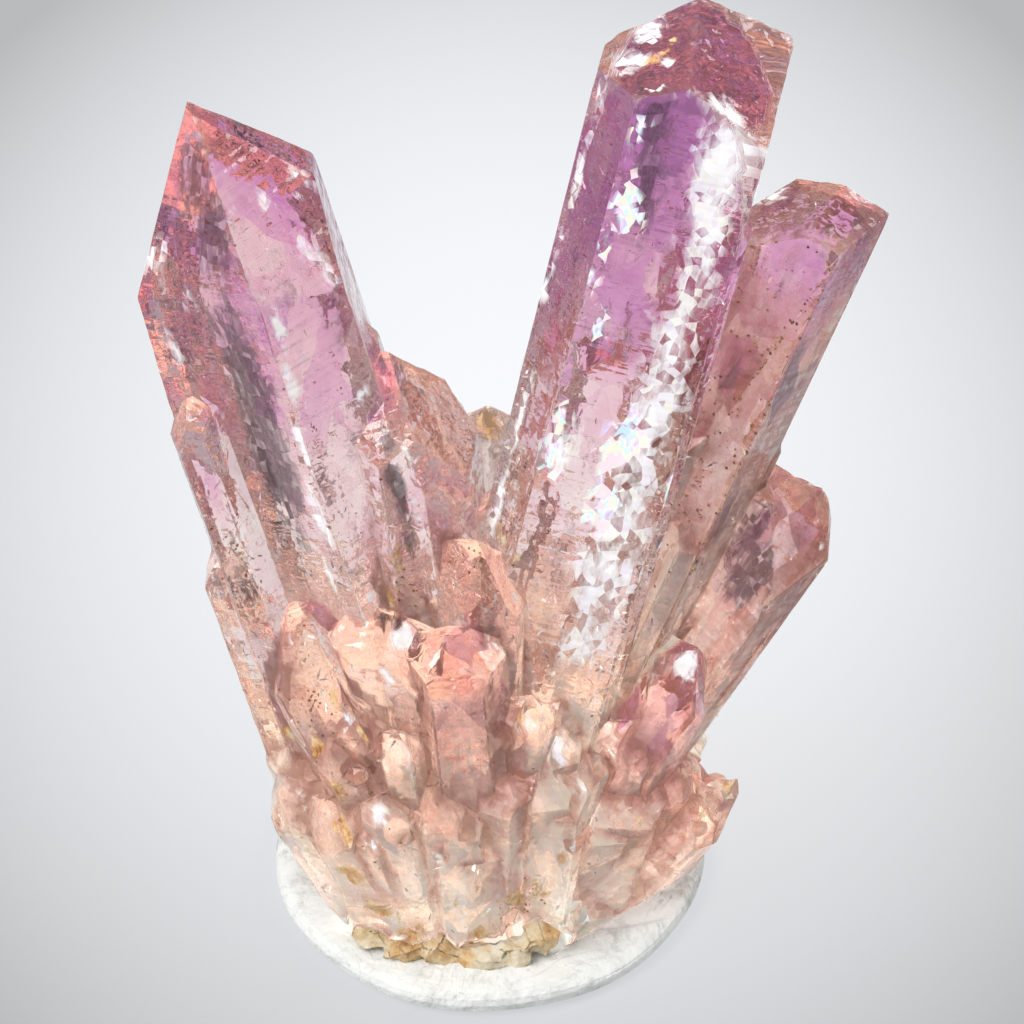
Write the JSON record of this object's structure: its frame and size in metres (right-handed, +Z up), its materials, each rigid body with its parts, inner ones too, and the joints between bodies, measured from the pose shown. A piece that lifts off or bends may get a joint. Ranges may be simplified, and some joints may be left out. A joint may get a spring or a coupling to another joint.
{
  "type": "mineral specimen",
  "caption": "Spray of transparent pink to peach prismatic crystals on a limonite crust, standing upright in a round pat of white mounting putty.",
  "frame": {"origin": "middle of the flat underside of the putty pat, which rests on the shelf", "axes": "+Z up, the way the crystals grow; -Y is the display side; +X to the right of the display side"},
  "size_m": [0.0315, 0.0198, 0.0463],
  "materials": {
    "crystal": "clear to milky crystal, magenta at the tips fading to peach at the foot, glossy faces",
    "limonite": "crumbly yellow-brown iron oxide rock, dull",
    "putty": "soft white mounting putty with grey smudges, satin"
  },
  "bodies": {
    "root": {"crystal_cluster": "crystal", "limonite_crust": "limonite", "putty_base": "putty"}
  },
  "joints": []
}
